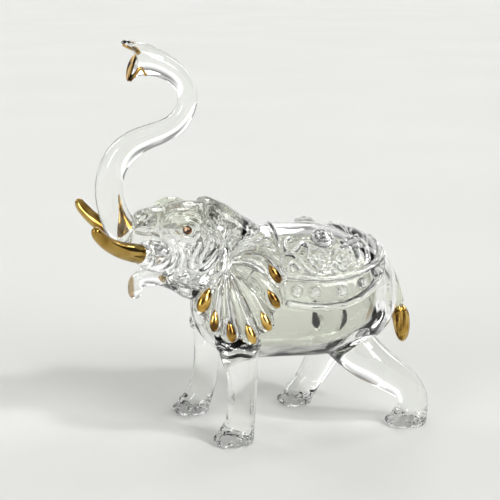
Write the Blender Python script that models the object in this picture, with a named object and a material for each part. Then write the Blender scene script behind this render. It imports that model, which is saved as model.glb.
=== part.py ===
"""A clear glass elephant figurine with its trunk raised, gilded tusks, ear drops and tail tuft.

The elephant looks along -X, its left side is at -Y, and it stands on Z = 0. Every piece is its own solid:
the pieces of hot glass were fused to one another, so each one is cut back by FUSING_GAP from the piece it
is fused to. Stations are in millimetres, in the design frame, and MM turns them into metres. The last step
moves the figurine so that its origin is under the middle of its box.
"""

import math

import bmesh
import bpy
from mathutils import Matrix, Vector

# Driving dimensions, in millimetres unless a name says otherwise.
MM = 0.001
FUSING_GAP = 0.3
SMOOTH_ANGLE = math.radians(35)
SIDE_AXIS = Vector((0, 1, 0))
BODY_AXIS = Vector((1, 0, 0))
DOWN = Vector((0, 0, -1))
SIDES = ((-1, "left"), (1, "right"))

# Each station is (x, y, z, half width across, half height), all in millimetres.
BODY_STATIONS = [
    (-50.5, 0, 70.5, 3, 4),
    (-48, 0, 71, 12, 14),
    (-40, 0, 73, 22.5, 26),
    (-29, 0, 75, 28.5, 33.5),
    (-15, 0, 75.5, 31.5, 36.3),
    (2, 0, 75, 32.5, 36.5),
    (20, 0, 74.2, 33, 36.2),
    (35, 0, 73.6, 32, 34.4),
    (46, 0, 73, 28.5, 30.5),
    (55, 0, 72.3, 22.5, 24),
    (61, 0, 72, 14.5, 15.5),
    (64, 0, 72, 5, 5.5),
]
# The body was blown hollow. Its blow hole opens into the neck, where the head closes it.
BODY_WALL = 3.2
BODY_LENGTH = 115
CAVITY_SHIFT = 0.4
BLOW_HOLE_START, BLOW_HOLE_END, BLOW_HOLE_RADIUS = (-22, 0, 78), (-41, 0, 111), 6.5
# The blanket lies over the back. Each entry is (x, angle from the spine down to its hem in degrees).
BLANKET_HEM = [(-7, 90), (4, 93), (15, 94), (25, 92), (33, 87), (40, 79), (45, 69), (48.5, 54), (50.3, 36)]
# The underside is raised by more than the fusing gap because its flat facets sag between their corners.
BLANKET_LIFT, BLANKET_THICKNESS = 0.75, 1.3
BLANKET_ROWS = (0, 0.16, 0.32, 0.48, 0.6, 0.68, 0.72, 0.76, 0.85, 0.93, 0.965, 1)
HEM_ROWS, HEM_HEIGHT = (0.72, 0.965), 0.9
BEAD_ROW, BEAD_COUNT, BEAD_RADII = 0.845, 7, (2.3, 2.3, 1.2)
# How far the end beads lie from the blanket's front and back edges.
BEAD_FRONT_INSET, BEAD_BACK_INSET = 4, 7
ROSE_PLACES, ROSE_RADII = ((17.2, 31), (13.5, 52), (25.5, 52)), (5.2, 5.2, 1.25)
HEAD_STATIONS = [
    (-16, 0, 104, 9, 7),
    (-22, 0, 104, 15.5, 13.5),
    (-31, 0, 103.5, 21, 20.8),
    (-41, 0, 103.3, 24.3, 24.9),
    (-50, 0, 104.4, 24.6, 24.8),
    (-58, 0, 108, 22.4, 20.6),
    (-66, 0, 109.5, 18.4, 16.7),
    (-74, 0, 109, 15, 15.2),
    (-80, 0, 109.2, 11.5, 12.6),
    (-84, 0, 109.6, 6, 7),
]
CHEEK_CENTRE, CHEEK_RADII = (-70.5, 13.5, 102), (11.5, 9.5, 9)
BROW_CENTRE, BROW_RADII = (-58, 15, 121), (9.5, 7, 5.5)
JAW_STATIONS = [
    (-45, 0, 82, 10, 8),
    (-51, 0, 82.2, 10.5, 8.4),
    (-59, 0, 85, 8.8, 6.2),
    (-68, 0, 87.2, 7, 5),
    (-75, 0, 87.2, 6.4, 4.7),
    (-79, 0, 84.8, 5.8, 4.5),
    (-80.3, 0, 80.6, 5.2, 4),
    (-80.6, 0, 77.2, 3.8, 3),
    (-80.7, 0, 75.8, 1.6, 1.4),
]
TRUNK_STATIONS = [
    (-73, 0, 104, 9.6, 9.6),
    (-80, 0, 107.5, 9.4, 9.4),
    (-86, 0, 113.2, 8.5, 8.5),
    (-90.2, 0, 121, 7.7, 7.7),
    (-92.5, 0, 130, 7.3, 7.3),
    (-92.4, 0, 138.5, 7.2, 7.2),
    (-90.2, 0, 146.5, 7.2, 7.2),
    (-85.5, 0, 153.6, 7.1, 7.1),
    (-79.2, 0, 158.4, 6.8, 6.8),
    (-72.5, 0, 161.2, 6.4, 6.4),
    (-65.6, 0, 163.5, 6, 6),
    (-58.9, 0, 166.9, 5.6, 5.6),
    (-53.9, 0, 172, 5.3, 5.3),
    (-51.3, 0, 178, 5.2, 5.2),
    (-51.3, 0, 183.6, 5.3, 5.3),
    (-53.2, 0, 188.8, 5.5, 5.5),
    (-57, 0, 193.3, 5.8, 5.9),
    (-62.4, 0, 197, 6.2, 6.4),
    (-68.4, 0, 199.6, 6.5, 7.3),
    (-74.5, 0, 200.9, 6.6, 8.5),
    (-80, 0, 200.7, 6.3, 9.3),
    (-84, 0, 200.4, 5.6, 9.6),
]
MOUTH_CENTRE, MOUTH_RADIUS = (-86.75, 0, 200), 9.75
# The flared end is a gather of its own, from here on.
TRUNK_END = ((-120, -20, 185), (-66, 20, 230))
UPPER_LIP = ((-110, -20, 205), (-60, 20, 230))
LOWER_LIP = ((-110, -20, 170), (-60, 20, 203))
TUSK_STATIONS = [
    (-76, 16.7, 102.8, 4.8, 4.8),
    (-81, 19.6, 104.7, 4.7, 4.7),
    (-90, 25.5, 108.5, 4.2, 4.2),
    (-98, 31.5, 113.6, 3.6, 3.6),
    (-103, 35.5, 119, 3.1, 3.1),
    (-104.6, 37, 122, 2.3, 2.3),
    (-105.1, 37.5, 123.2, 1, 1),
]
EYE_CENTRE = (-56, 21.6, 115.8)
EYE_RADIUS, EYE_DEPTH = 2.2, 2.6
TAIL_STATIONS = [
    (53, 0, 83.6, 6, 7.6),
    (57.4, 0, 81.4, 5, 6.8),
    (61, 0, 77.4, 4.3, 5.4),
    (64.4, 0, 70.8, 3.7, 4.4),
    (66.9, 0, 64.6, 3.2, 3.6),
    (68.2, 0, 59, 2.4, 2.6),
]
TUFT_STATIONS = [
    (65.8, 0, 61, 1.6, 1.8),
    (67.2, 0, 59.4, 3.6, 4.2),
    (68.9, 0, 56.2, 4, 4.9),
    (69.7, 0, 52.4, 4, 4.9),
    (70.2, 0, 48.4, 3.9, 4.5),
    (70.5, 0, 44.6, 3.1, 3.7),
    (70.6, 0, 41.8, 2, 2.4),
    (70.6, 0, 40.3, 0.7, 0.7),
]
# A leg's rings turn level between FOOT_TOP and FOOT_LEVEL, so that its sole is flat at Z = 0.
FOOT_TOP, FOOT_LEVEL = 14, 4
LEFT_FRONT_LEG = [
    (-30.5, -17, 70, 12, 13),
    (-30.5, -22, 60, 12, 12),
    (-30, -25.3, 50, 10.3, 10.3),
    (-28.9, -26.6, 38, 8.3, 8.3),
    (-28.8, -27, 24, 7.5, 7.5),
    (-30, -27, 12, 7.6, 7.9),
    (-32.2, -27, 5.5, 8.9, 9.8),
    (-33, -27, 2.2, 9.2, 10.3),
    (-33, -27, 0, 8.2, 9.2),
]
RIGHT_FRONT_LEG = [
    (-35, 16, 70, 11.5, 12),
    (-35.5, 20, 60, 11, 11),
    (-36, 23, 50, 9.2, 9.2),
    (-36.3, 24, 38, 7.8, 7.8),
    (-37.8, 24, 24, 7.2, 7.2),
    (-41, 24, 12, 7.4, 7.6),
    (-44.8, 24, 5.5, 8.7, 9.4),
    (-46, 24, 2.2, 9, 10),
    (-46, 24, 0, 8, 9),
]
LEFT_HIND_LEG = [
    (26, -14, 60, 12, 15),
    (33, -18.5, 49, 12.5, 14),
    (42, -21, 39.5, 11.5, 11.8),
    (53, -22, 31.5, 9.8, 10),
    (63, -22, 24, 8.8, 9),
    (68.6, -22, 16, 8.2, 8.2),
    (69.4, -22, 10, 8.3, 8.2),
    (67.3, -22, 5.2, 9.2, 10),
    (66, -22, 2.2, 9.4, 11.2),
    (66, -22, 0, 8.4, 10.4),
]
RIGHT_HIND_LEG = [
    (38, 14, 60, 12, 13),
    (37, 18.5, 49, 12, 12.6),
    (34.6, 21.5, 38, 10.6, 10.8),
    (29.5, 23, 26, 8.8, 8.8),
    (22.8, 23.6, 14, 7.6, 7.6),
    (17.3, 24, 6.5, 8.5, 9),
    (15, 24, 2.2, 8.9, 9.8),
    (15, 24, 0, 7.9, 8.8),
]

# The ear is a fan. A rib number runs round it, and each whole number is the crest of a rib.
EAR_ROOT = (-37, 25, 101.5)
EAR_RIM = [(-132, 28.5), (-117, 33), (-104, 37.5), (-92, 41), (-80, 43.5), (-68, 43.5), (-57, 39.8),
           (-42, 35), (-22, 29.6), (-4, 27.4), (18, 23.8), (39, 20.9), (63, 17.5)]
# Each rib from rib -1 on: its direction at the rim, from straight back (0) to straight down (-90), and how
# many degrees further up it starts at the root.
RIBS = [(-135, -20), (-122.6, -20), (-105, -18), (-90, -12), (-75.5, -6), (-62.3, 9), (-46.6, 25), (-26, 40),
        (-10, 42), (6, 40), (21, 36), (35, 30), (47, 22), (58, 14)]
EAR_FIRST_RIB, EAR_LAST_RIB = -0.5, 11.5
EAR_INNER_RADIUS = 3
EAR_SPLAY = 15
EAR_SPLAY_RADIUS = 40
EAR_BULGE = 2.6
EAR_THICKNESS = 3.4
EAR_RIB_HEIGHT = 0.8
# The share of a rib's length by which its crest is already raised at the root.
EAR_CREST_LEAD = 0.15
DROP_COUNT = 7
# A drop's length, width, depth, and distance of its middle from the rim. The first drop is the largest.
FIRST_DROP, DROP = (13.5, 7.6, 5.6, 7), (11.5, 5.4, 4.6, 6.2)
# A drop reaches this share of its length further towards the root than towards the rim, and DROP_TAPER sets
# how sharply it narrows there.
DROP_SET_BACK, DROP_TAPER = 0.05, 0.6


def clear_scene():
    for obj in list(bpy.data.objects):
        bpy.data.objects.remove(obj)


def new_material(name, colour, roughness, metallic=0.0, transmission=0.0):
    mat = bpy.data.materials.new(name)
    mat.use_nodes = True
    shader = mat.node_tree.nodes["Principled BSDF"]
    shader.inputs["Base Color"].default_value = (*colour, 1)
    shader.inputs["Roughness"].default_value = roughness
    shader.inputs["Metallic"].default_value = metallic
    shader.inputs["Transmission Weight"].default_value = transmission
    shader.inputs["IOR"].default_value = 1.52
    return mat


def between(stations, position):
    """A station at a fractional index, on the Catmull-Rom curve through the whole ones."""
    last = len(stations) - 1
    i = min(int(position), last - 1)
    t = position - i
    corners = [stations[max(0, min(last, k))] for k in (i - 1, i, i + 1, i + 2)]
    weights = (
        (-t + 2 * t**2 - t**3) / 2,
        (2 - 5 * t**2 + 3 * t**3) / 2,
        (t + 4 * t**2 - 3 * t**3) / 2,
        (-(t**2) + t**3) / 2,
    )
    return [sum(w * corner[k] for w, corner in zip(weights, corners)) for k in range(len(stations[0]))]


def link(name, mesh, mat=None):
    obj = bpy.data.objects.new(name, mesh)
    bpy.context.scene.collection.objects.link(obj)
    if mat is not None:
        mesh.materials.append(mat)
    return obj


def mesh_from(name, points, faces):
    """A closed mesh in metres from points in millimetres, with its normals facing out."""
    mesh = bpy.data.meshes.new(name)
    mesh.from_pydata([Vector(p) * MM for p in points], [], faces)
    edit = bmesh.new()
    edit.from_mesh(mesh)
    bmesh.ops.recalc_face_normals(edit, faces=edit.faces)
    edit.to_mesh(mesh)
    edit.free()
    mesh.shade_smooth()
    mesh.set_sharp_from_angle(angle=SMOOTH_ANGLE)
    return mesh


def tube_mesh(name, stations, sides=14, steps=2, rings_are="square"):
    """A closed tube of elliptical rings: square to its line, upright, or turning level towards a foot."""
    count = (len(stations) - 1) * steps + 1
    rings = [between(stations, k / steps) for k in range(count)]
    points = []
    for k, (x, y, z, across, high) in enumerate(rings):
        before, after = rings[max(0, k - 1)], rings[min(count - 1, k + 1)]
        along = Vector([after[i] - before[i] for i in range(3)]).normalized()
        if rings_are == "upright":
            along = BODY_AXIS
        if rings_are == "level at the foot":
            share = max(0.0, min(1.0, (FOOT_TOP - z) / (FOOT_TOP - FOOT_LEVEL)))
            along = along.lerp(DOWN, share).normalized()
        side = (SIDE_AXIS - along * SIDE_AXIS.dot(along)).normalized()
        up = side.cross(along)
        for n in range(sides):
            turn = 2 * math.pi * n / sides
            offset = side * (across * math.cos(turn)) + up * (high * math.sin(turn))
            points.append(Vector((x, y, z)) + offset)
    faces = [
        (k * sides + n, k * sides + (n + 1) % sides, (k + 1) * sides + (n + 1) % sides, (k + 1) * sides + n)
        for k in range(count - 1)
        for n in range(sides)
    ]
    faces += [tuple(range(sides)), tuple(range((count - 1) * sides, count * sides))]
    return mesh_from(name, points, faces)


def ellipsoid_mesh(name, centre, radii, segments=14, rings=8):
    edit = bmesh.new()
    bmesh.ops.create_uvsphere(edit, u_segments=segments, v_segments=rings, radius=1)
    for vert in edit.verts:
        vert.co = Vector([(vert.co[k] * radii[k] + centre[k]) * MM for k in range(3)])
    mesh = bpy.data.meshes.new(name)
    edit.to_mesh(mesh)
    edit.free()
    mesh.shade_smooth()
    return mesh


def cylinder_across_mesh(name, centre, radius, half_length, segments=24):
    """A closed cylinder whose axis runs along Y."""
    points = [
        (centre[0] + radius * math.cos(turn), end * half_length, centre[2] + radius * math.sin(turn))
        for end in (-1, 1)
        for turn in (2 * math.pi * n / segments for n in range(segments))
    ]
    faces = [(n, (n + 1) % segments, segments + (n + 1) % segments, segments + n) for n in range(segments)]
    faces += [tuple(range(segments)), tuple(range(segments, 2 * segments))]
    return mesh_from(name, points, faces)


def box_mesh(name, low, high):
    points = [(x, y, z) for x in (low[0], high[0]) for y in (low[1], high[1]) for z in (low[2], high[2])]
    faces = [(0, 1, 3, 2), (4, 6, 7, 5), (0, 4, 5, 1), (2, 3, 7, 6), (0, 2, 6, 4), (1, 5, 7, 3)]
    return mesh_from(name, points, faces)


def helper(name, mesh):
    """An object that only cuts or joins, and is not a piece of the figurine."""
    obj = link(name, mesh)
    obj.hide_render = True
    obj.display_type = "WIRE"
    return obj


def boolean(obj, other, operation="DIFFERENCE"):
    modifier = obj.modifiers.new(f"{operation.lower()}_{other.name}", "BOOLEAN")
    modifier.operation = operation
    modifier.object = other


def grown(source):
    """A helper that is the source piece, larger all round by the fusing gap."""
    obj = helper(f"{source.name}_grown", finished_mesh(source))
    modifier = obj.modifiers.new("fusing_gap", "DISPLACE")
    modifier.strength = FUSING_GAP * MM
    modifier.mid_level = 0
    return obj


def finished_mesh(obj):
    """A copy of the object's mesh with its modifiers applied."""
    bpy.context.view_layer.update()
    graph = bpy.context.evaluated_depsgraph_get()
    return bpy.data.meshes.new_from_object(obj.evaluated_get(graph), depsgraph=graph)


def mirrored(stations, side):
    """Stations given for the +Y side, on the side asked for."""
    return [(x, side * y, z, across, high) for x, y, z, across, high in stations]


def rib_angle_deg(rib, share=1.0):
    """The direction from the root to a point at a share of the way along a rib."""
    direction, bend = between(RIBS, rib + 1)
    return direction + bend * (1 - share)


def rim_radius(angle_deg):
    """The ear's radius in a direction from its root."""
    for (a, radius_a), (b, radius_b) in zip(EAR_RIM, EAR_RIM[1:]):
        if angle_deg <= b:
            share = max(0.0, (angle_deg - a) / (b - a))
            return radius_a + (radius_b - radius_a) * share
    return EAR_RIM[-1][1]


def ear_point(rib, share, side, depth=0.0):
    """A point on the ear's middle sheet at a share of the way along a rib, moved outward by depth."""
    angle_deg = rib_angle_deg(rib, share)
    radius = EAR_INNER_RADIUS + (rim_radius(angle_deg) - EAR_INNER_RADIUS) * share
    turn = math.radians(angle_deg)
    out = EAR_ROOT[1] + EAR_SPLAY * radius / EAR_SPLAY_RADIUS + EAR_BULGE * math.sin(math.pi * share)
    return Vector(
        (
            EAR_ROOT[0] + radius * math.cos(turn),
            side * (out + depth),
            EAR_ROOT[2] + radius * math.sin(turn),
        )
    )


def ear_mesh(name, side, radial=5, per_rib=3):
    across = int((EAR_LAST_RIB - EAR_FIRST_RIB) * per_rib)
    points = []
    for face in (1, -1):
        for j in range(across + 1):
            rib = EAR_FIRST_RIB + j / per_rib
            for i in range(radial + 1):
                share = i / radial
                rise = math.sin(math.pi * min(1, share + EAR_CREST_LEAD))
                crest = EAR_RIB_HEIGHT * math.cos(2 * math.pi * rib) * rise
                half = EAR_THICKNESS / 2 + (crest if face > 0 else 0)
                points.append(ear_point(rib, share, side, face * half))
    row, sheet = radial + 1, (across + 1) * (radial + 1)
    faces = []
    for j in range(across):
        for i in range(radial):
            a, b = j * row + i, (j + 1) * row + i
            faces.append((a, b, b + 1, a + 1))
            faces.append((sheet + a, sheet + a + 1, sheet + b + 1, sheet + b))
        for i in (0, radial):
            a, b = j * row + i, (j + 1) * row + i
            faces.append((a, b, sheet + b, sheet + a))
    for j in (0, across):
        for i in range(radial):
            a = j * row + i
            faces.append((a, a + 1, sheet + a + 1, sheet + a))
    return mesh_from(name, points, faces)


def drop_mesh(name, rib, side, segments=8, rings=6):
    """A gilded teardrop on the end of a rib: broad and round at the rim, pointed towards the root."""
    length, wide, deep, inset = FIRST_DROP if rib == 0 else DROP
    reach = rim_radius(rib_angle_deg(rib)) - EAR_INNER_RADIUS
    share = 1 - inset / reach
    centre = ear_point(rib, share, side, EAR_RIB_HEIGHT)
    along = (ear_point(rib, share + 0.05, side) - ear_point(rib, share - 0.05, side)).normalized()
    out = (Vector((0, side, 0)) - along * along.y * side).normalized()
    across = along.cross(out)
    points = [centre - along * (length * (0.5 + DROP_SET_BACK))]
    for k in range(1, rings):
        polar = math.pi * k / rings
        width = math.sin(polar) * math.sin(polar / 2) ** DROP_TAPER
        for n in range(segments):
            turn = 2 * math.pi * n / segments
            points.append(
                centre
                - along * (length * (DROP_SET_BACK + 0.5 * math.cos(polar)))
                + across * (width * wide / 2 * math.cos(turn))
                + out * (width * deep / 2 * math.sin(turn))
            )
    points.append(centre + along * (length * (0.5 - DROP_SET_BACK)))
    end = len(points) - 1
    faces = []
    for n in range(segments):
        m = (n + 1) % segments
        faces.append((0, 1 + m, 1 + n))
        for k in range(rings - 2):
            a, b = 1 + k * segments, 1 + (k + 1) * segments
            faces.append((a + n, a + m, b + m, b + n))
        last = 1 + (rings - 2) * segments
        faces.append((last + n, last + m, end))
    return mesh_from(name, points, faces)


def eye_mesh(name, side, radius, depth, segments=12):
    """A faceted round crystal: a flat table, a sloping crown, and a straight base in its socket."""
    x, y, z = EYE_CENTRE
    levels = [(-depth, radius), (0.0, radius), (0.7, radius * 0.62)]
    points = [
        (x + r * math.cos(turn), side * (y + level), z + r * math.sin(turn))
        for level, r in levels
        for turn in (2 * math.pi * n / segments for n in range(segments))
    ]
    faces = [
        (k * segments + n, k * segments + (n + 1) % segments, (k + 1) * segments + (n + 1) % segments,
         (k + 1) * segments + n)
        for k in range(len(levels) - 1)
        for n in range(segments)
    ]
    faces += [tuple(range(segments)), tuple(range(2 * segments, 3 * segments))]
    mesh = mesh_from(name, points, faces)
    mesh.shade_flat()
    return mesh


def body_section(x):
    """The body's section at x: its middle height, half width and half height."""
    whole = len(BODY_STATIONS) - 1
    low, high = 0.0, float(whole)
    for _ in range(30):
        position = (low + high) / 2
        if between(BODY_STATIONS, position)[0] < x:
            low = position
        else:
            high = position
    section = between(BODY_STATIONS, low)
    return section[2], section[3], section[4]


def on_body(x, angle_deg, lift):
    """A point above the body's surface at x, at an angle from the spine, and the direction out of it."""
    middle, half_width, half_height = body_section(x)
    turn = math.radians(angle_deg)
    slope = [b - a for a, b in zip(body_section(x - 0.5), body_section(x + 0.5))]
    radial = Vector((0, math.sin(turn) / half_width, math.cos(turn) / half_height)).normalized()
    growth = slope[1] * math.sin(turn) ** 2 + (slope[2] + slope[0]) * math.cos(turn) ** 2
    out = Vector((-growth, radial.y, radial.z)).normalized()
    foot = Vector((x, half_width * math.sin(turn), middle + half_height * math.cos(turn)))
    return foot + out * lift, out


def hem_angle(x):
    """The blanket's hem, in degrees from the spine, at x."""
    for (a, angle_a), (b, angle_b) in zip(BLANKET_HEM, BLANKET_HEM[1:]):
        if x <= b:
            return angle_a + (angle_b - angle_a) * (x - a) / (b - a)
    return BLANKET_HEM[-1][1]


def blanket_mesh(name):
    """A sheet that follows the back, with a raised ridge along each line of its hem."""
    shares = [-row for row in reversed(BLANKET_ROWS[1:])] + list(BLANKET_ROWS)
    columns = [x for x, _ in BLANKET_HEM]
    columns = sorted(columns + [(a + b) / 2 for a, b in zip(columns, columns[1:])])
    points = []
    for under in (False, True):
        for x in columns:
            for share in shares:
                ridge = HEM_HEIGHT if abs(share) in HEM_ROWS else 0
                lift = BLANKET_LIFT if under else BLANKET_LIFT + BLANKET_THICKNESS + ridge
                points.append(on_body(x, share * hem_angle(x), lift)[0])
    row, sheet = len(shares), len(columns) * len(shares)
    faces = []
    for j in range(len(columns) - 1):
        for i in range(row - 1):
            a, b = j * row + i, (j + 1) * row + i
            faces.append((a, b, b + 1, a + 1))
            faces.append((sheet + a, sheet + a + 1, sheet + b + 1, sheet + b))
        for i in (0, row - 1):
            a, b = j * row + i, (j + 1) * row + i
            faces.append((a, b, sheet + b, sheet + a))
    for j in (0, len(columns) - 1):
        for i in range(row - 1):
            a = j * row + i
            faces.append((a, a + 1, sheet + a + 1, sheet + a))
    return mesh_from(name, points, faces)


def lay_on_blanket(mesh, x, angle_deg):
    """Turns a mesh made at the origin so that its Z points out of the back, and puts it on the blanket."""
    place, out = on_body(x, angle_deg, BLANKET_LIFT + BLANKET_THICKNESS)
    turn = out.to_track_quat("Z", "Y").to_matrix().to_4x4()
    mesh.transform(turn)
    mesh.transform(Matrix.Translation(place * MM))
    return mesh


def build_blanket(glass):
    """The blanket with its row of beads and its roses pressed into it."""
    blanket = link("saddle_blanket", blanket_mesh("saddle_blanket"), glass)
    first, last = BLANKET_HEM[0][0] + BEAD_FRONT_INSET, BLANKET_HEM[-1][0] - BEAD_BACK_INSET
    for side, word in SIDES:
        reliefs = [("rose", x, angle, ROSE_RADII, 10) for x, angle in ROSE_PLACES]
        for k in range(BEAD_COUNT):
            x = first + (last - first) * k / (BEAD_COUNT - 1)
            reliefs.append(("bead", x, BEAD_ROW * hem_angle(x), BEAD_RADII, 8))
        for k, (kind, x, angle, radii, segments) in enumerate(reliefs):
            bump = ellipsoid_mesh(kind, (0, 0, 0), radii, segments, 6)
            boolean(blanket, helper(f"{word}_{kind}_{k}", lay_on_blanket(bump, x, side * angle)), "UNION")


def build_body(glass):
    """The hollow body. Returns its outside, with the fusing gap round it, for cutting its neighbours."""
    body = link("body", tube_mesh("body", BODY_STATIONS, sides=26, rings_are="upright"), glass)
    outside = grown(body)
    cavity = [
        (x * (1 - 2 * BODY_WALL / BODY_LENGTH) + CAVITY_SHIFT, y, z, across - BODY_WALL, high - BODY_WALL)
        for x, y, z, across, high in BODY_STATIONS[1:-1]
    ]
    boolean(body, helper("body_cavity", tube_mesh("body_cavity", cavity, sides=22, rings_are="upright")))
    bore = [(*end, BLOW_HOLE_RADIUS, BLOW_HOLE_RADIUS) for end in (BLOW_HOLE_START, BLOW_HOLE_END)]
    boolean(body, helper("blow_hole", tube_mesh("blow_hole", bore, sides=20, steps=1)))
    return outside


def build_head(glass, body_gap):
    """The head with its cheeks and brows joined on, and a socket for each eye crystal."""
    blank = helper("head_blank", tube_mesh("head_blank", HEAD_STATIONS, sides=24))
    for side, word in SIDES:
        for part, centre, radii in (("cheek", CHEEK_CENTRE, CHEEK_RADII), ("brow", BROW_CENTRE, BROW_RADII)):
            place = (centre[0], side * centre[1], centre[2])
            boolean(blank, helper(f"{word}_{part}", ellipsoid_mesh(part, place, radii)), "UNION")
    head = link("head", finished_mesh(blank), glass)
    whole_head_gap = grown(head)
    boolean(head, body_gap)
    for side, word in SIDES:
        socket = eye_mesh("socket", side, EYE_RADIUS + FUSING_GAP, EYE_DEPTH + FUSING_GAP)
        boolean(head, helper(f"{word}_eye_socket", socket))
    return whole_head_gap


def build_trunk(glass, gold, head_gap):
    """The trunk, its flared end hollowed by a round mouth, and the gilding on the mouth's face."""
    blank = tube_mesh("trunk", TRUNK_STATIONS, sides=14)
    trunk = link("trunk", blank, glass)
    end = link("trunk_end", blank.copy(), glass)
    zone = helper("trunk_end_zone", box_mesh("zone", *TRUNK_END))
    boolean(end, zone, "INTERSECT")
    boolean(trunk, head_gap)
    boolean(trunk, grown(zone))
    hollow = helper("mouth_hollow", cylinder_across_mesh("mouth_hollow", MOUTH_CENTRE, MOUTH_RADIUS, 20))
    boolean(end, hollow)
    for word, zone, thickness in (("upper", UPPER_LIP, 1.0), ("lower", LOWER_LIP, 1.2)):
        gilding = link(f"{word}_lip_gilding", blank.copy(), gold)
        gilding.data.materials.clear()
        gilding.data.materials.append(gold)
        outside = cylinder_across_mesh("gilding_outside", MOUTH_CENTRE, MOUTH_RADIUS + thickness, 18)
        boolean(gilding, helper(f"{word}_gilding_outside", outside), "INTERSECT")
        boolean(gilding, hollow)
        boolean(gilding, helper(f"{word}_gilding_zone", box_mesh("zone", *zone)), "INTERSECT")
        boolean(end, grown(gilding))


def build_ears(glass, gold, gaps):
    for side, word in SIDES:
        ear = link(f"{word}_ear", ear_mesh(f"{word}_ear", side), glass)
        for gap in gaps:
            boolean(ear, gap)
        for rib in range(DROP_COUNT):
            name = f"{word}_ear_drop_{rib + 1}"
            drop = link(name, drop_mesh(name, rib, side), gold)
            boolean(ear, grown(drop))


def build_fused(name, stations, mat, gaps):
    """A rod of glass cut back where it is fused to its neighbours."""
    obj = link(name, tube_mesh(name, stations, sides=12), mat)
    for gap in gaps:
        boolean(obj, gap)
    return obj


def centre_on_sole():
    """Moves the figurine so that the origin is under the middle of its box."""
    bpy.context.view_layer.update()
    graph = bpy.context.evaluated_depsgraph_get()
    corners = [
        Vector(corner)
        for obj in bpy.data.objects
        if not obj.hide_render
        for corner in obj.evaluated_get(graph).bound_box
    ]
    middle = [(min(c[k] for c in corners) + max(c[k] for c in corners)) / 2 for k in (0, 1)]
    anchor = bpy.data.objects.new("figurine", None)
    bpy.context.scene.collection.objects.link(anchor)
    for obj in list(bpy.data.objects):
        if obj is not anchor:
            obj.parent = anchor
    anchor.location = (-middle[0], -middle[1], 0)


def main():
    clear_scene()
    glass = new_material("clear_glass", (0.93, 0.96, 0.92), 0.02, transmission=1.0)
    gold = new_material("gilding", (0.83, 0.58, 0.2), 0.14, metallic=1.0)
    amber = new_material("eye_crystal", (0.42, 0.2, 0.07), 0.05, transmission=0.6)

    body_gap = build_body(glass)
    build_blanket(glass)
    head_gap = build_head(glass, body_gap)
    build_fused("lower_jaw", JAW_STATIONS, glass, (head_gap, body_gap))
    build_trunk(glass, gold, head_gap)
    build_ears(glass, gold, (head_gap, body_gap))
    for side, word in SIDES:
        build_fused(f"{word}_tusk", mirrored(TUSK_STATIONS, side), gold, (head_gap,))
        name = f"{word}_eye_crystal"
        link(name, eye_mesh(name, side, EYE_RADIUS, EYE_DEPTH), amber)
    legs = {
        "left_front_leg": LEFT_FRONT_LEG,
        "right_front_leg": RIGHT_FRONT_LEG,
        "left_hind_leg": LEFT_HIND_LEG,
        "right_hind_leg": RIGHT_HIND_LEG,
    }
    for name, stations in legs.items():
        leg = link(name, tube_mesh(name, stations, sides=14, rings_are="level at the foot"), glass)
        boolean(leg, body_gap)
    tuft = build_fused("tail_tuft", TUFT_STATIONS, gold, ())
    build_fused("tail", TAIL_STATIONS, glass, (body_gap, grown(tuft)))
    centre_on_sole()


main()
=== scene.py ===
"""The looks of the clear glass elephant figurine.

The clear pieces are fused in the real figurine, so they are modelled like soft clay: simple closed shapes are
laid over one another, melted into one skin, and the skin is then shared out to the pieces it came from.
Gilded pieces and eye crystals are separate closed meshes. Design coordinates are millimetres, with the
elephant looking along -X and its left side at -Y; place() turns them into metres in the CAD frame.
"""

import math

import bmesh
import bpy
from mathutils import Matrix, Vector
from mathutils.bvhtree import BVHTree
from mathutils.kdtree import KDTree


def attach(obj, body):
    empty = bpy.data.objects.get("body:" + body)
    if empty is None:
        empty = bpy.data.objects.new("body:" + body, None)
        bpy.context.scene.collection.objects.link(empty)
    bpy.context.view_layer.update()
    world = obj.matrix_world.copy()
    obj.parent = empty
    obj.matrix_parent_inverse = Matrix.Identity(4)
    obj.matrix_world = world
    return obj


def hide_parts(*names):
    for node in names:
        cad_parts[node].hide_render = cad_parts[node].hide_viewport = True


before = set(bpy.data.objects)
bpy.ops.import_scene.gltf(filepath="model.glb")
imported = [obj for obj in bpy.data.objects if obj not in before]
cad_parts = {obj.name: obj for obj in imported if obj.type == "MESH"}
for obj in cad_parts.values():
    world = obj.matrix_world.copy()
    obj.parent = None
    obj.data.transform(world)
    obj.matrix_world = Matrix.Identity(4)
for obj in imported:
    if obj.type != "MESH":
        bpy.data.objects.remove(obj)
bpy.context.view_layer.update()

MM = 0.001
SHIFT = Vector((14.68, 0, 0))
VOXEL = 0.5
SIDES = ((-1, "left"), (1, "right"))
BODY_AXIS = Vector((1, 0, 0))
SIDE_AXIS = Vector((0, 1, 0))
DOWN = Vector((0, 0, -1))
# A rope's rounded end reaches this share of its radius further, and narrows to this share of it.
ROPE_END_REACH, ROPE_END_SIZE = 0.7, 0.6

# Each station is (x, y, z, half width across, half height).
BODY_STATIONS = [
    (-50.5, 0, 70.5, 3, 4), (-48, 0, 71, 12, 14), (-40, 0, 73, 22.5, 26), (-29, 0, 75, 28.5, 33.5),
    (-15, 0, 75.5, 31.5, 36.3), (2, 0, 75, 32.5, 36.5), (20, 0, 74.2, 33, 36.2), (35, 0, 73.6, 32, 34.4),
    (46, 0, 73, 28.5, 30.5), (55, 0, 72.3, 22.5, 24), (61, 0, 72, 14.5, 15.5), (64, 0, 72, 5, 5.5),
]
# The glass round the hollow: at the sides, under and over it, in front of it and behind it.
BODY_WALL, FLOOR_WALL, CHEST_WALL, RUMP_WALL = 3.0, 4.4, 6.0, 8.0
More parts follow.
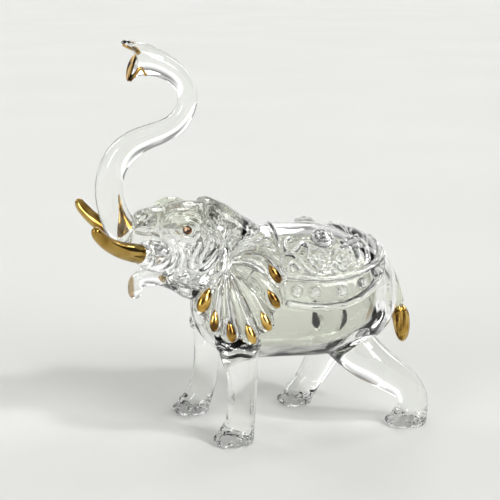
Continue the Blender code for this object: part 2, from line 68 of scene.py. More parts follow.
# A small knob where each ear's top meets the back.
EAR_KNOB_CENTRE, EAR_KNOB_RADII = (-16.5, 17, 109.4), (2.6, 2.4, 2.8)
HEAD_STATIONS = [
    (-10, 0, 103, 8, 6), (-15, 0, 103, 13, 9.8), (-22, 0, 103.2, 18, 14.2), (-31, 0, 103.2, 22, 21),
    (-41, 0, 103.3, 24.3, 25), (-50, 0, 104.4, 24.6, 24.3), (-58, 0, 107.6, 22.4, 20.2),
    (-66, 0, 109, 18.4, 16), (-74, 0, 109, 15, 15.2), (-80, 0, 109.2, 11.5, 12.6), (-84, 0, 109.6, 6, 7),
]
# A cheek and a brow on each side: (centre, radii).
HEAD_LUMPS = (((-70.5, 13.5, 102), (11.5, 9.5, 9)), ((-58, 15, 121), (9.5, 7, 5.5)))
# The folds of the head's skin: (corners of (x, z) seen from the side, lift, radius).
FOLDS = (
    # upper lid, lower lid, and the skin above the eye
    ([(-63.6, 116.6), (-61.7, 119.3), (-58.9, 120.6), (-55.3, 120.6), (-52, 119), (-50.2, 116)], 0.2, 1.15),
    ([(-63.6, 116.6), (-60.9, 113.6), (-57.6, 111.8), (-53.7, 111.6), (-50.2, 114)], 0.1, 1.0),
    ([(-65, 118), (-62.6, 121), (-58.6, 122.6), (-53, 122.2), (-48.6, 119), (-47, 115.4)], -0.4, 1.3),
    # the two loose folds of the cheek
    ([(-38, 109.4), (-41, 103), (-44.4, 97.8), (-48.4, 94.6), (-51.9, 94.5), (-54.7, 97), (-54.9, 100.7),
      (-52.6, 105.7), (-50.6, 109)], 0.1, 1.5),
    ([(-41.5, 106.2), (-44.4, 102.9), (-47.3, 99.7), (-49.8, 98.6), (-50.9, 100.2), (-49.6, 103.6),
      (-47.2, 107.7), (-46, 111)], 0.1, 1.2),
    # creases from the crown down behind the eye
    ([(-42.2, 119), (-41.8, 115.7), (-40.5, 111.5), (-39.4, 107.9), (-41.1, 104.6)], -0.2, 1.3),
    ([(-33.3, 117), (-34.6, 113.6), (-36.2, 110)], -0.2, 1.1),
    ([(-60, 121.6), (-62.6, 120.4), (-65, 117.6)], -0.2, 1.1),
    ([(-66.4, 119.4), (-67.6, 117), (-66.4, 114), (-63.6, 111.6)], 0.0, 1.2),
    ([(-48, 120), (-47.2, 117), (-45.2, 113), (-44.6, 109)], -0.2, 1.1),
    # the muzzle round the root of the tusk
    ([(-80, 114.6), (-76.4, 114.4), (-71.8, 115), (-66.8, 112.4), (-63.6, 108.6), (-62.8, 103.4), (-64.6, 99),
      (-69, 96)], 0.1, 1.8),
    ([(-61, 108), (-59, 103), (-60.2, 97), (-64, 92)], 0, 1.5),
    ([(-56.5, 106), (-55.4, 100.6)], 0, 1.2),
)
# A collar of clear glass holds the root of each tusk.
COLLAR_STATIONS = [(-70, 13, 100.6, 5.6, 5.6), (-75, 16, 102.4, 6, 6), (-79.2, 18.4, 104, 5.8, 5.8),
                   (-81.2, 19.6, 104.8, 4.6, 4.6)]
# Each eye crystal's place, and its rings of (distance outward, radius, turn as a share of a facet).
EYE_X, EYE_Z, EYE_LIFT, EYE_FACETS = -55.8, 115.2, 1.7, 10
EYE_LEVELS = [(-2.6, 2.3, 0), (0.4, 2.3, 0), (1.1, 1.8, 0.5), (1.6, 1.1, 0)]
JAW_STATIONS = [
    (-45, 0, 82, 10, 8), (-51, 0, 82.2, 10.5, 8.4), (-59, 0, 85, 8.8, 6.2), (-68, 0, 87.2, 7, 5),
    (-75, 0, 87.2, 6.4, 4.7), (-79, 0, 84.8, 5.8, 4.5), (-80.3, 0, 80.6, 5.2, 4), (-80.6, 0, 77.2, 3.8, 3),
    (-80.7, 0, 75.8, 1.6, 1.4),
]
# The raised edge of the lower lip, on the +Y side.
JAW_EDGE = [(-57, 7.5, 89.5), (-64, 6.6, 90.6), (-71, 5.8, 91), (-77, 4.9, 89.6), (-81, 4, 85),
            (-82, 2.6, 80), (-81.4, 1, 76.6)]
JAW_EDGE_RADIUS = 1.1
TRUNK_STATIONS = [
    (-73, 0, 104, 9.6, 9.6), (-80, 0, 107.5, 9.4, 9.4), (-86, 0, 113.2, 8.5, 8.5), (-90.2, 0, 121, 7.7, 7.7),
    (-92.5, 0, 130, 7.3, 7.3), (-92.4, 0, 138.5, 7.2, 7.2), (-90.2, 0, 146.5, 7.2, 7.2),
    (-85.5, 0, 153.6, 7.1, 7.1), (-79.2, 0, 158.4, 6.8, 6.8), (-72.5, 0, 161.2, 6.4, 6.4),
    (-65.6, 0, 163.5, 6, 6), (-58.9, 0, 166.9, 5.6, 5.6), (-53.9, 0, 172, 5.3, 5.3),
    (-51.3, 0, 178, 5.2, 5.2), (-51.3, 0, 183.6, 5.3, 5.3), (-53.2, 0, 188.8, 5.5, 5.5),
    (-57, 0, 193.3, 5.8, 5.9), (-62.4, 0, 197, 6.2, 6.4), (-68.4, 0, 199.6, 6.5, 7.3),
    (-74.5, 0, 200.9, 6.6, 8.5), (-80, 0, 200.7, 6.3, 9.3), (-84, 0, 200.4, 5.6, 9.6),
]
MOUTH_CENTRE, MOUTH_RADIUS = (-86.75, 0, 200), 9.75
MOUTH_HALF_LENGTH = 20
TRUNK_END_X, TRUNK_END_Z = -66, 185
# The upper lip ends in a small knob.
LIP_KNOB_STATIONS = [(-78, 0, 208, 4, 1.8), (-81, 0, 209, 3.4, 1.7), (-83, 0, 209.4, 2.4, 1.5),
                     (-84.2, 0, 209.6, 1, 0.7)]
# The gilding on the trunk's lips: (x, z, half width) along each, and the line of the lower lip's rim.
UPPER_LIP = [(-83.6, 208.7, 0.8), (-82.4, 207.9, 2.2), (-80.4, 206.9, 3.2), (-78.2, 205.9, 3.4),
             (-76.6, 204.7, 3), (-75.8, 203.4, 1.6)]
UPPER_LIP_THICKNESS = 0.9
LOWER_LIP = [(-76.0, 204.0, 0.6), (-77.6, 202.4, 3.4), (-79.2, 199.6, 5.0), (-80.4, 196.4, 5.2),
             (-81.0, 193.4, 4.2), (-81.2, 191.2, 2.6), (-80.9, 190.0, 0.8)]
LOWER_LIP_SCOOP, LOWER_LIP_BACK, LOWER_LIP_THICKNESS, LOWER_LIP_EDGE = 1.6, 0.8, 0.75, 0.05
LIP_RIM = [(-80.4, -1.2, 190.6), (-78, -3.2, 193.8), (-75.7, -4.4, 197.2), (-74.3, -4.6, 195.6),
           (-73, -4, 193.4)]
LIP_RIM_RADIUS = 0.7
TUSK_STATIONS = [
    (-80.6, 19.2, 104.6, 5, 5), (-85, 22.2, 106.3, 4.8, 4.8), (-91, 26.2, 108.9, 4.3, 4.3),
    (-98, 31.5, 113.6, 3.6, 3.6), (-103, 35.5, 119, 3.1, 3.1), (-104.6, 37, 122, 2.3, 2.3),
    (-105.1, 37.5, 123.2, 1, 1),
]
TAIL_STATIONS = [
    (53, 0, 83.6, 6, 7.6), (57.4, 0, 81.4, 5, 6.8), (61, 0, 77.4, 4.3, 5.4), (64.4, 0, 70.8, 3.7, 4.4),
    (66.9, 0, 64.6, 3.2, 3.6), (68.2, 0, 59, 2.4, 2.6),
]
TUFT_STATIONS = [
    (65.8, 0, 61, 1.6, 1.8), (67.2, 0, 59.4, 3.6, 4.2), (68.9, 0, 56.2, 4, 4.9), (69.7, 0, 52.4, 4, 4.9),
    (70.2, 0, 48.4, 3.9, 4.5), (70.5, 0, 44.6, 3.1, 3.7), (70.6, 0, 41.8, 2, 2.4), (70.6, 0, 40.3, 0.7, 0.7),
]
# A leg's rings turn level between FOOT_TOP and FOOT_LEVEL, so that its sole is flat.
FOOT_TOP, FOOT_LEVEL = 14, 4
LEGS = {
    "left_front_leg": [
        (-30.5, -13, 70, 9, 11), (-30.5, -19.5, 60, 10.5, 11.5), (-30, -24.9, 50, 10.1, 10.3),
        (-28.9, -26.6, 38, 8.3, 8.3), (-28.8, -27, 24, 7.5, 7.5), (-30, -27, 12, 7.6, 7.9),
        (-32.2, -27, 5.5, 8.9, 9.8), (-33, -27, 2.2, 9.2, 10.3), (-33, -27, 0, 8.2, 9.2),
    ],
    "right_front_leg": [
        (-35, 12, 70, 9, 11), (-35.5, 18.4, 60, 10.4, 11), (-36, 22.8, 50, 9.2, 9.2),
        (-36.3, 24, 38, 7.8, 7.8), (-37.8, 24, 24, 7.2, 7.2), (-41, 24, 12, 7.4, 7.6),
        (-44.8, 24, 5.5, 8.7, 9.4), (-46, 24, 2.2, 9, 10), (-46, 24, 0, 8, 9),
    ],
    "left_hind_leg": [
        (26, -10, 60, 9, 13), (33, -14.5, 49, 10.5, 13), (42, -19.6, 39.5, 11.3, 11.8),
        (53, -22, 31.5, 9.8, 10), (63, -22, 24, 8.8, 9), (68.6, -22, 16, 8.2, 8.2), (69.4, -22, 10, 8.3, 8.2),
        (67.3, -22, 5.2, 9.2, 10), (66, -22, 2.2, 9.4, 11.2), (66, -22, 0, 8.4, 10.4),
    ],
    "right_hind_leg": [
        (29, 29.2, 83, 2, 2.4), (30, 28.6, 76, 3.6, 5), (32.6, 26, 64, 6.6, 8.6), (35.4, 21, 50, 9.8, 11.4),
        (34.6, 21, 38, 10.2, 10.8), (29.5, 23, 26, 8.8, 8.8),
        (22.8, 23.6, 14, 7.6, 7.6), (17.3, 24, 6.5, 8.5, 9), (15, 24, 2.2, 8.9, 9.8), (15, 24, 0, 7.9, 8.8),
    ],
}
# The ruffled rings round the top of each front leg: (x, y, z, radius).
FRILLS = {
    "left": ((-30.4, -20.6, 57.6, 10.6), (-30.3, -22.3, 54.6, 10.4), (-30.1, -24, 51.6, 10.2)),
    "right": ((-35.6, 19.4, 57.6, 10.4), (-35.8, 20.8, 54.6, 10), (-36, 22.2, 51.6, 9.5)),
}
FRILL_START_DEG, FRILL_SWEEP_DEG, FRILL_WAVE, FRILL_RADIUS = 165, 210, 0.9, 1.5
TOE_COUNT, TOE_RADIUS, TOE_SPREAD_DEG, TOE_INSET = 4, 2.5, 34, 1.4

# The blanket's hem: (x, angle from the spine down to it, in degrees).
BLANKET_HEM = [(-7, 90), (4, 93), (15, 94), (25, 92), (33, 87), (40, 79), (45, 69), (48.5, 54), (50.3, 36)]
BLANKET_TOP, BLANKET_UNDERSIDE = 1.1, -2
# The ridges along the hem: (share of the way down to it, radius, lift). Two more close the back edge.
HEM_RIDGES = ((0.72, 1.5, 2.3), (0.965, 1.7, 2.1))
BACK_RIDGE_RADIUS, BACK_RIDGE_LIFT = 1.4, 1.3
BEAD_SHARE, BEAD_LIFT, BEAD_RADII = 0.845, 1.7, (2.7, 2.7, 3.0)
BEAD_X = (-1, 8.6, 23.2, 35, 43.8)
# Each rose's (x, angle from the spine), and its rings of petals: (distance from its middle, height, petals,
# radius of a petal's edge).
ROSES = ((17.2, 31), (13.5, 52), (25.5, 52))
ROSE_LIFT, ROSE_DOME, ROSE_BUD, ROSE_BUD_HEIGHT = 1.0, (5.4, 5.4, 2.2), (0.9, 0.9, 1.2), 4.1
ROSE_RINGS = ((5.3, 2.0, 5, 1.0), (3.5, 3.3, 4, 0.9), (1.7, 4.3, 3, 0.75))
ROSE_RING_TURN_DEG, PETAL_OVERLAP, PETAL_INSET, PETAL_SWELL, PETAL_DROOP = 35, 1.15, 0.82, 0.3, 1.3
SCROLL_LIFT, BERRY_LIFT, LEAF_LIFT = 2.4, 2.3, 2.2
# The scrolls round the roses: (corners of (x, z) seen from the side, radius).
CURLS = (
    ([(6.5, 97.8), (8.6, 101), (7, 103.6), (4, 104), (1, 102.2), (-2, 100.8), (-4.2, 102.3), (-3.6, 105.4),
      (-1, 106.6)], 1.1),
    ([(-5.4, 100.2), (-1, 99.6), (2.2, 96.6), (5, 93.4), (9, 91), (14.5, 90)], 1.0),
    ([(19.5, 91.4), (22.6, 89.8), (27.2, 89.8), (31.8, 91.6), (34.6, 95.2), (34.2, 99), (35.6, 101.4),
      (37.6, 100.6)], 1.1),
    ([(22, 100.2), (26, 99), (29.6, 98.2), (31.4, 95.6), (29.8, 93.2)], 0.8),
    ([(26.1, 101.6), (30.3, 102.4), (34, 103.2), (37.6, 103), (40.5, 100.6)], 0.9),
)
BERRIES = ((28.5, 103.4), (32.2, 104.4), (36, 104.2), (29.8, 100.2), (33.4, 100.8))
BERRY_RADII = (1.6, 1.4, 1.9)
LEAF = [(-4.6, 95.6), (-1.5, 96.6), (2.4, 91.8), (-1, 91), (-4.6, 91.4), (-4.8, 94)]
LEAF_RADIUS = 1.2

# The ear is a fan. A rib number runs round it, and each whole number is the crest of a rib.
EAR_ROOT = (-37, 25, 101.5)
EAR_RIM = [(-132, 28.5), (-117, 33), (-104, 37.5), (-92, 41), (-80, 43.5), (-68, 43.5), (-57, 39.8),
           (-42, 35), (-22, 29.6), (-4, 27.4), (18, 23.8), (39, 20.9), (63, 17.5)]
# Each rib from rib -1 on: its direction at the rim, from straight back (0) to straight down (-90), and how
# many degrees further up it starts at the root.
RIBS = [(-135, -20), (-122.6, -20), (-105, -18), (-90, -12), (-75.5, -6), (-62.3, 9), (-46.6, 25), (-33, 79),
        (-22, 90), (-10, 85), (4, 72), (18, 58), (33, 42), (48, 26)]
EAR_FIRST_RIB, EAR_LAST_RIB = -0.5, 11.5
RIB_COUNT, DROP_COUNT = 12, 7
EAR_INNER_RADIUS = 3
EAR_SPLAY, EAR_SPLAY_RADIUS, EAR_BULGE = 15, 40, 2.6
# The sheet between the ribs: half its thickness, how far it reaches to the rim, and its flutes.
WEB_HALF, WEB_REACH, WEB_SCALLOP, WEB_CREST, WEB_CREST_LEAD = 0.8, 0.94, 0.022, 0.4, 0.15
RIB_CREST, RIB_START, RIB_WIDTH, RIB_LEAST = 3.6, 0.02, 0.47, 0.7
# The ribs start this far below the root that their rim is measured from.
ROOT_FALL = 4
# The stalk that runs from the ear's root into the head, on the +Y side.
EAR_STALK, EAR_STALK_RADIUS = [(-37, 21, 104), (-36, 17, 108)], 3.4
# A drop's length, width, depth, and distance of its middle from the rim. The first drop is the largest.
FIRST_DROP, DROP = (13.5, 8, 6.0, 7), (11.5, 5.6, 4.8, 6.2)
DROP_LIFT = 2.7
# A drop is set back by this share of its length, and DROP_TAPER is how sharply it narrows at the root's end.
DROP_SET_BACK, DROP_TAPER = 0.05, 0.6
# The glass of most pieces, of the crown of the head, round the hollow, in the tail, and at the lower lip. The
# darker tint round the hollow is painted shade, for the shade seen through the body.
CLEAR_TINT, CROWN_TINT, HOLLOW_SHADE_TINT = (0.98, 0.987, 0.97), (0.76, 0.8, 0.66), (0.735, 0.75, 0.67)
TAIL_TINT, LIP_TINT = (0.78, 0.81, 0.7), (0.3, 0.17, 0.06)
# Where the second tint of the head and of the lower lip sets in, in metres.
CROWN_START, CROWN_END = 0.11, 0.122
LIP_START, LIP_END = -0.0664, -0.0674
# Glass has painted shade where its pointiness is low, in grooves, and painted highlights where it is high, on
# ridges, which are made less clear there so that they show white.
GROOVE, GROOVE_PAINTED_SHADE = (0.46, 0.495), 0.62
RIDGE, RIDGE_PAINTED_HIGHLIGHT, HEAD_RIDGE_PAINTED_HIGHLIGHT = (0.505, 0.535), 0.32, 0.15
# The feet are crazed inside, fully below CRAZED_FULL and not above CRAZED_TOP, in metres.
CRAZED_TOP, CRAZED_FULL = 0.0095, 0.004
# The gold's colours; its darkest, brown-black, is painted dark reflection.
GOLD_COLOURS_AND_DARK_REFLECTIONS = ((0.36, (0.13, 0.065, 0.02)), (0.5, (0.55, 0.33, 0.07)), (0.64, (0.75, 0.52, 0.16)))
# The eye's facet colours, black to amber; the lightest is a painted highlight.
CRYSTAL_COLOURS_AND_HIGHLIGHTS = [(0.35, (0.004, 0.002, 0.001)), (0.55, (0.06, 0.02, 0.006)), (0.8, (0.26, 0.1, 0.03)),
                   (0.93, (0.8, 0.55, 0.35))]
# The numbers of a colour mix node's sockets, which share their names with its other kinds of socket.
MIX_FIRST, MIX_SECOND, MIX_RESULT = 6, 7, 2

# The light round the set: upright cards of (azimuth from +X towards +Y in degrees, half width, lowest and
# highest height on the unit sphere, brightness). Dark ones give the glass and the gold their dark edges.
CARDS = (
    (300, 0.16, 0.25, 0.7, 9.0), (215, 0.10, 0.2, 0.6, 8.0), (256, 0.22, 0.05, 0.6, 0.16),
    (146, 0.30, 0.02, 0.55, 0.08), (340, 0.42, 0.02, 0.6, 0.05), (76, 0.10, 0.4, 0.8, 5.0),
    (130, 0.08, 0.3, 0.7, 6.0), (20, 0.08, 0.3, 0.7, 6.0),
)
CARD_SOFT = 0.03
# The world's brightness by height: (place from straight down, 0, to straight up, 1, brightness).
WORLD_LEVELS = ((0, 1.1), (0.58, 1.1), (0.66, 0.65), (1, 0.5))
MOTTLE_LEVEL, MOTTLE_SHARE = 0.06, 0.6
WARMTH = 0.99
SUN_DIRECTION, SUN_ANGLE_DEG, SUN_POWER = (0.55, -0.5, 0.65), 7, 1.3
FLOOR_SIZE = 40
FLOOR_COLOURS = [(0.35, (0.61, 0.612, 0.592)), (0.65, (0.625, 0.628, 0.61))]
CAMERA_PLACE, CAMERA_LENS, CAMERA_SENSOR = (-173.3, -623.4, 255), 88.8, 36
CAMERA_PITCH_DEG, CAMERA_HEADING_DEG = 13.7, 14


def turns(count, offset=0.0):
    """Angles evenly round a circle."""
    return [2 * math.pi * (n + offset) / count for n in range(count)]


def between(stations, position):
    """A station at a fractional index, on the Catmull-Rom curve through the whole ones."""
    last = len(stations) - 1
    i = min(int(position), last - 1)
    t = position - i
    corners = [stations[max(0, min(last, k))] for k in (i - 1, i, i + 1, i + 2)]
    weights = (
        (-t + 2 * t**2 - t**3) / 2,
        (2 - 5 * t**2 + 3 * t**3) / 2,
        (t + 4 * t**2 - 3 * t**3) / 2,
        (-(t**2) + t**3) / 2,
    )
    return [sum(w * corner[k] for w, corner in zip(weights, corners)) for k in range(len(stations[0]))]


def ring_faces(count, sides):
    """The faces of a tube of rings, with a flat cap at each end."""
    faces = [
        (k * sides + n, k * sides + (n + 1) % sides, (k + 1) * sides + (n + 1) % sides, (k + 1) * sides + n)
        for k in range(count - 1)
        for n in range(sides)
    ]
    return faces + [tuple(reversed(range(sides))), tuple(range((count - 1) * sides, count * sides))]


def station_tube(stations, sides=40, steps=6, rings_are="square"):
    """A closed tube of elliptical rings: square to its line, upright, or turning level at the foot."""
    count = (len(stations) - 1) * steps + 1
    rings = [between(stations, k / steps) for k in range(count)]
    points = []
    for k, (x, y, z, across, high) in enumerate(rings):
        before, after = rings[max(0, k - 1)], rings[min(count - 1, k + 1)]
        along = Vector([after[i] - before[i] for i in range(3)]).normalized()
        if rings_are == "upright":
            along = BODY_AXIS
        if rings_are == "level at the foot":
            share = max(0.0, min(1.0, (FOOT_TOP - z) / (FOOT_TOP - FOOT_LEVEL)))
            along = along.lerp(DOWN, share).normalized()
        side = (SIDE_AXIS - along * SIDE_AXIS.dot(along)).normalized()
        up = side.cross(along)
        for turn in turns(sides):
            points.append(Vector((x, y, z)) + side * (across * math.cos(turn)) + up * (high * math.sin(turn)))
    return points, ring_faces(count, sides)


def smooth_path(corners, steps=6):
    """Points on the smooth curve through the corners."""
    count = (len(corners) - 1) * steps + 1
    return [Vector(between(corners, k / steps)) for k in range(count)]


def rope(path, radius, sides=10):
    """A closed round rope along the path. radius is one number, or a function of the share of the way."""
    size = radius if callable(radius) else lambda share: radius
    count = len(path)
    sizes = [size(k / (count - 1)) for k in range(count)]
    first, last = (path[1] - path[0]).normalized(), (path[-1] - path[-2]).normalized()
    start, end = first * sizes[0] * ROPE_END_REACH, last * sizes[-1] * ROPE_END_REACH
    path = [path[0] - start, *path, path[-1] + end]
    sizes = [sizes[0] * ROPE_END_SIZE, *sizes, sizes[-1] * ROPE_END_SIZE]
    side = first.orthogonal().normalized()
    points = []
    for k, centre in enumerate(path):
        along = (path[min(k + 1, len(path) - 1)] - path[max(k - 1, 0)]).normalized()
        side = (side - along * side.dot(along)).normalized()
        up = along.cross(side)
        for turn in turns(sides):
            points.append(centre + (side * math.cos(turn) + up * math.sin(turn)) * sizes[k])
    return points, ring_faces(len(path), sides)


def swelling(radius, ends, middle):
    """A rope's radius that grows from its ends, by shares of the radius given, to its middle."""
    return lambda share: radius * (ends + middle * math.sin(math.pi * share))


def facing(out):
    """The rotation that turns Z to the direction out."""
    return out.to_track_quat("Z", "Y").to_matrix()


def ellipsoid(centre, radii, turn=None, segments=20, rings=12):
    """A closed ellipsoid. turn is a rotation matrix for its axes."""
    turn = turn or Matrix.Identity(3)
    a, b, c = radii
    shape = [(0, 0, -c)]
    for k in range(1, rings):
        polar = math.pi * k / rings
        out, up = math.sin(polar), -math.cos(polar)
        shape += [(a * out * math.cos(way), b * out * math.sin(way), c * up) for way in turns(segments)]
    shape.append((0, 0, c))
    return [Vector(centre) + turn @ Vector(p) for p in shape], pole_faces(rings, segments)


def pole_faces(rings, segments):
    """The faces of rings of points between two poles."""
    faces, end = [], (rings - 1) * segments + 1
    for n in range(segments):
        m = (n + 1) % segments
        faces.append((0, 1 + m, 1 + n))
        for k in range(rings - 2):
            a, b = 1 + k * segments, 1 + (k + 1) * segments
            faces.append((a + n, a + m, b + m, b + n))
        last = 1 + (rings - 2) * segments
        faces.append((last + n, last + m, end))
    return faces


def sheet_faces(columns, rows):
    """The faces of a closed slab between two grids of columns of points, the upper grid first."""
    base = columns * rows
    faces = []
    for j in range(columns - 1):
        for i in range(rows - 1):
            a, b = j * rows + i, (j + 1) * rows + i
            faces.append((a, b, b + 1, a + 1))
            faces.append((base + a, base + a + 1, base + b + 1, base + b))
    rim = [*range(rows), *range(2 * rows - 1, base, rows)]
    rim += [*range(base - 2, base - rows - 1, -1), *range(base - 2 * rows, 0, -rows)]
    return faces + [(a, b, base + b, base + a) for a, b in zip(rim, rim[1:] + rim[:1])]


def sheet(grids):
    """A closed slab between an upper and a lower grid, each a list of columns of points."""
    upper, lower = grids
    points = [p for column in upper + lower for p in column]
    return points, sheet_faces(len(upper), len(upper[0]))


# The body's surface, for laying the blanket and its relief on it.


def body_section(x):
    """The body's middle height, half width and half height at x."""
    low, high = 0.0, float(len(BODY_STATIONS) - 1)
    for _ in range(30):
        position = (low + high) / 2
        if between(BODY_STATIONS, position)[0] < x:
            low = position
        else:
            high = position
    section = between(BODY_STATIONS, low)
    return section[2], section[3], section[4]


def on_body(x, angle_deg, lift):
    """A point above the body's surface at x, at an angle from the spine, and the direction out of it."""
    middle, half_width, half_height = body_section(x)
    turn = math.radians(angle_deg)
    slope = [b - a for a, b in zip(body_section(x - 0.5), body_section(x + 0.5))]
    radial = Vector((0, math.sin(turn) / half_width, math.cos(turn) / half_height)).normalized()
    growth = slope[1] * math.sin(turn) ** 2 + (slope[2] + slope[0]) * math.cos(turn) ** 2
    out = Vector((-growth, radial.y, radial.z)).normalized()
    foot = Vector((x, half_width * math.sin(turn), middle + half_height * math.cos(turn)))
    return foot + out * lift, out


def side_angle(x, z):
    """The angle from the spine at which the body's side passes the height z."""
    middle, _, half_height = body_section(x)
    return math.degrees(math.acos(max(-1.0, min(1.0, (z - middle) / half_height))))


def hem_angle(x):
    """The blanket's hem, in degrees from the spine, at x."""
    for (a, angle_a), (b, angle_b) in zip(BLANKET_HEM, BLANKET_HEM[1:]):
        if x <= b:
            return angle_a + (angle_b - angle_a) * (x - a) / (b - a)
    return BLANKET_HEM[-1][1]


def back_path(corners, side, lift, steps=6):
    """A path over the body from corners of (x, z) seen from the side."""
    flat = smooth_path([(x, side_angle(x, z), 0) for x, z in corners], steps)
    return [on_body(p.x, side * p.y, lift)[0] for p in flat]


def rib_angle_deg(rib, share=1.0):
    """The direction from the root to a point at a share of the way along a rib."""
    direction, bend = between(RIBS, rib + 1)
    return direction + bend * (1 - share)


def rim_radius(angle_deg):
    """The ear's radius in a direction from its root, eased from entry to entry of the rim."""
    for (a, radius_a), (b, radius_b) in zip(EAR_RIM, EAR_RIM[1:]):
        if angle_deg <= b:
            share = max(0.0, (angle_deg - a) / (b - a))
            share = share * share * (3 - 2 * share)
            return radius_a + (radius_b - radius_a) * share
    return EAR_RIM[-1][1]


def ear_point(rib, share, side, depth=0.0):
    """A point on the ear's middle sheet at a share of the way along a rib, moved outward by depth."""
    angle_deg = rib_angle_deg(rib, share)
    radius = EAR_INNER_RADIUS + (rim_radius(angle_deg) - EAR_INNER_RADIUS) * share
    turn = math.radians(angle_deg)
    out = EAR_ROOT[1] + EAR_SPLAY * radius / EAR_SPLAY_RADIUS + EAR_BULGE * math.sin(math.pi * share)
    height = EAR_ROOT[2] - ROOT_FALL * (1 - share) ** 1.5 + radius * math.sin(turn)
    return Vector((EAR_ROOT[0] + radius * math.cos(turn), side * (out + depth), height))


def rib_radius(rib, share, side):
    """Nearly half the way to the next rib, so that neighbouring ribs touch at a sharp groove."""
    across = ear_point(rib + 0.5, share, side) - ear_point(rib - 0.5, share, side)
    return max(RIB_LEAST, RIB_WIDTH * across.length)


class Clay:
    """Closed shapes laid over one another. Each point keeps the name of the piece it belongs to."""

    def __init__(self):
        self.points, self.faces, self.labels = [], [], []

    def add(self, label, shape):
        points, faces = shape
        base = len(self.points)
        self.points += [Vector(p) for p in points]
        self.faces += [tuple(base + i for i in face) for face in faces]
        self.labels += [label] * len(points)


def place(point):
    """A design point in metres in the CAD frame."""
    return (Vector(point) + SHIFT) * MM


def bare_mesh(name, points, faces):
    """A mesh of the points just as they are."""
    mesh = bpy.data.meshes.new(name)
    mesh.from_pydata(points, [], faces)
    return mesh


def outward_mesh(name, points, faces):
    """A mesh of the points just as they are, its normals facing out."""
    mesh = bare_mesh(name, points, faces)
    edit = bmesh.new()
    edit.from_mesh(mesh)
    bmesh.ops.recalc_face_normals(edit, faces=edit.faces)
    edit.to_mesh(mesh)
    edit.free()
    return mesh


def mesh_of(name, shape):
    """A smooth mesh in metres in the CAD frame, its normals facing out."""
    points, faces = shape
    mesh = outward_mesh(name, [place(p) for p in points], faces)
    mesh.shade_smooth()
    return mesh


def on_side(points, side):
    """Points or stations given for the +Y side, on the side asked for."""
    return [(x, side * y, *rest) for x, y, *rest in points]


def new_object(name, data):
    """An object in the scene."""
    obj = bpy.data.objects.new(name, data)
    bpy.context.scene.collection.objects.link(obj)
    return obj


def link(name, mesh, mat, *nodes):
    """A piece of the figurine, riding on the one body and standing for the CAD nodes named."""
    obj = new_object(name, mesh)
    mesh.materials.append(mat)
    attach(obj, "root")
    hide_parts(*nodes)
    return obj


def applied(mesh, modifiers):
    """The mesh after the modifiers, each given as (type, settings)."""
    obj = new_object("work", mesh)
    for kind, settings in modifiers:
        modifier = obj.modifiers.new(kind, kind)
        for key, value in settings.items():
            setattr(modifier, key, value)
    bpy.context.view_layer.update()
    graph = bpy.context.evaluated_depsgraph_get()
    made = bpy.data.meshes.new_from_object(obj.evaluated_get(graph), depsgraph=graph)
    bpy.data.objects.remove(obj)
    return made


# The clay shapes of each clear piece.


def lay_body(clay):
    """The body, with a knob behind each ear."""
    clay.add("body", station_tube(BODY_STATIONS, 96, 8, "upright"))
    for side, _ in SIDES:
        clay.add("body", ellipsoid(*on_side([EAR_KNOB_CENTRE], side), EAR_KNOB_RADII))


def lay_blanket(clay):
    """The blanket over the back: a thin slab, a rope along each line of its hem, beads, roses and scrolls."""
    label = "saddle_blanket"
    first, last = BLANKET_HEM[0][0], BLANKET_HEM[-1][0]
    xs = [first + (last - first) * k / 40 for k in range(41)]
    shares = [k / 40 for k in range(-40, 41)]
    grids = [
        [[on_body(x, share * hem_angle(x), lift)[0] for share in shares] for x in xs]
        for lift in (BLANKET_TOP, BLANKET_UNDERSIDE)
    ]
    clay.add(label, sheet(grids))
    for side, _ in SIDES:
        for hem_share, radius, lift in HEM_RIDGES:
            path = [on_body(x, side * hem_share * hem_angle(x), lift)[0] for x in xs[1:]]
            clay.add(label, rope(path, radius))
        for x in BEAD_X:
            centre, out = on_body(x, side * BEAD_SHARE * hem_angle(x), BEAD_LIFT)
            clay.add(label, ellipsoid(centre, BEAD_RADII, facing(out)))
        for x, angle in ROSES:
            lay_rose(clay, label, x, side * angle)
        lay_scrolls(clay, label, side)
    for hem_share, _, _ in HEM_RIDGES:
        edge = [on_body(last, share * hem_share * hem_angle(last), BACK_RIDGE_LIFT)[0] for share in shares]
        clay.add(label, rope(edge, BACK_RIDGE_RADIUS))


def lay_rose(clay, label, x, angle):
    """A rose: a low dome with rings of petal edges that climb to a bud."""
    centre, out = on_body(x, angle, ROSE_LIFT)
    turn = facing(out)
    clay.add(label, ellipsoid(centre, ROSE_DOME, turn))
    for ring, (radius, height, petals, width) in enumerate(ROSE_RINGS):
        for k in range(petals):
            start = 360 * k / petals + ROSE_RING_TURN_DEG * ring
            path = []
            for j in range(9):
                share = j / 8
                bearing = math.radians(start + share * 360 / petals * PETAL_OVERLAP)
                reach = radius * (PETAL_INSET + PETAL_SWELL * math.sin(math.pi * share))
                lift = height - PETAL_DROOP * (2 * share - 1) ** 2
                petal = Vector((reach * math.cos(bearing), reach * math.sin(bearing), lift))
                path.append(centre + turn @ petal)
            clay.add(label, rope(path, width, 8))
    clay.add(label, ellipsoid(centre + out * ROSE_BUD_HEIGHT, ROSE_BUD, turn, 12, 8))


def lay_scrolls(clay, label, side):
    """The scrolls, berries and leaf that fill the blanket round the roses."""
    for corners, radius in CURLS:
        path = back_path(corners, side, SCROLL_LIFT)
        clay.add(label, rope(path, swelling(radius, 0.8, 0.5)))
    for x, z in BERRIES:
        centre, out = on_body(x, side * side_angle(x, z), BERRY_LIFT)
        clay.add(label, ellipsoid(centre, BERRY_RADII, facing(out), 12, 8))
    clay.add(label, rope(back_path(LEAF, side, LEAF_LIFT), LEAF_RADIUS, 8))


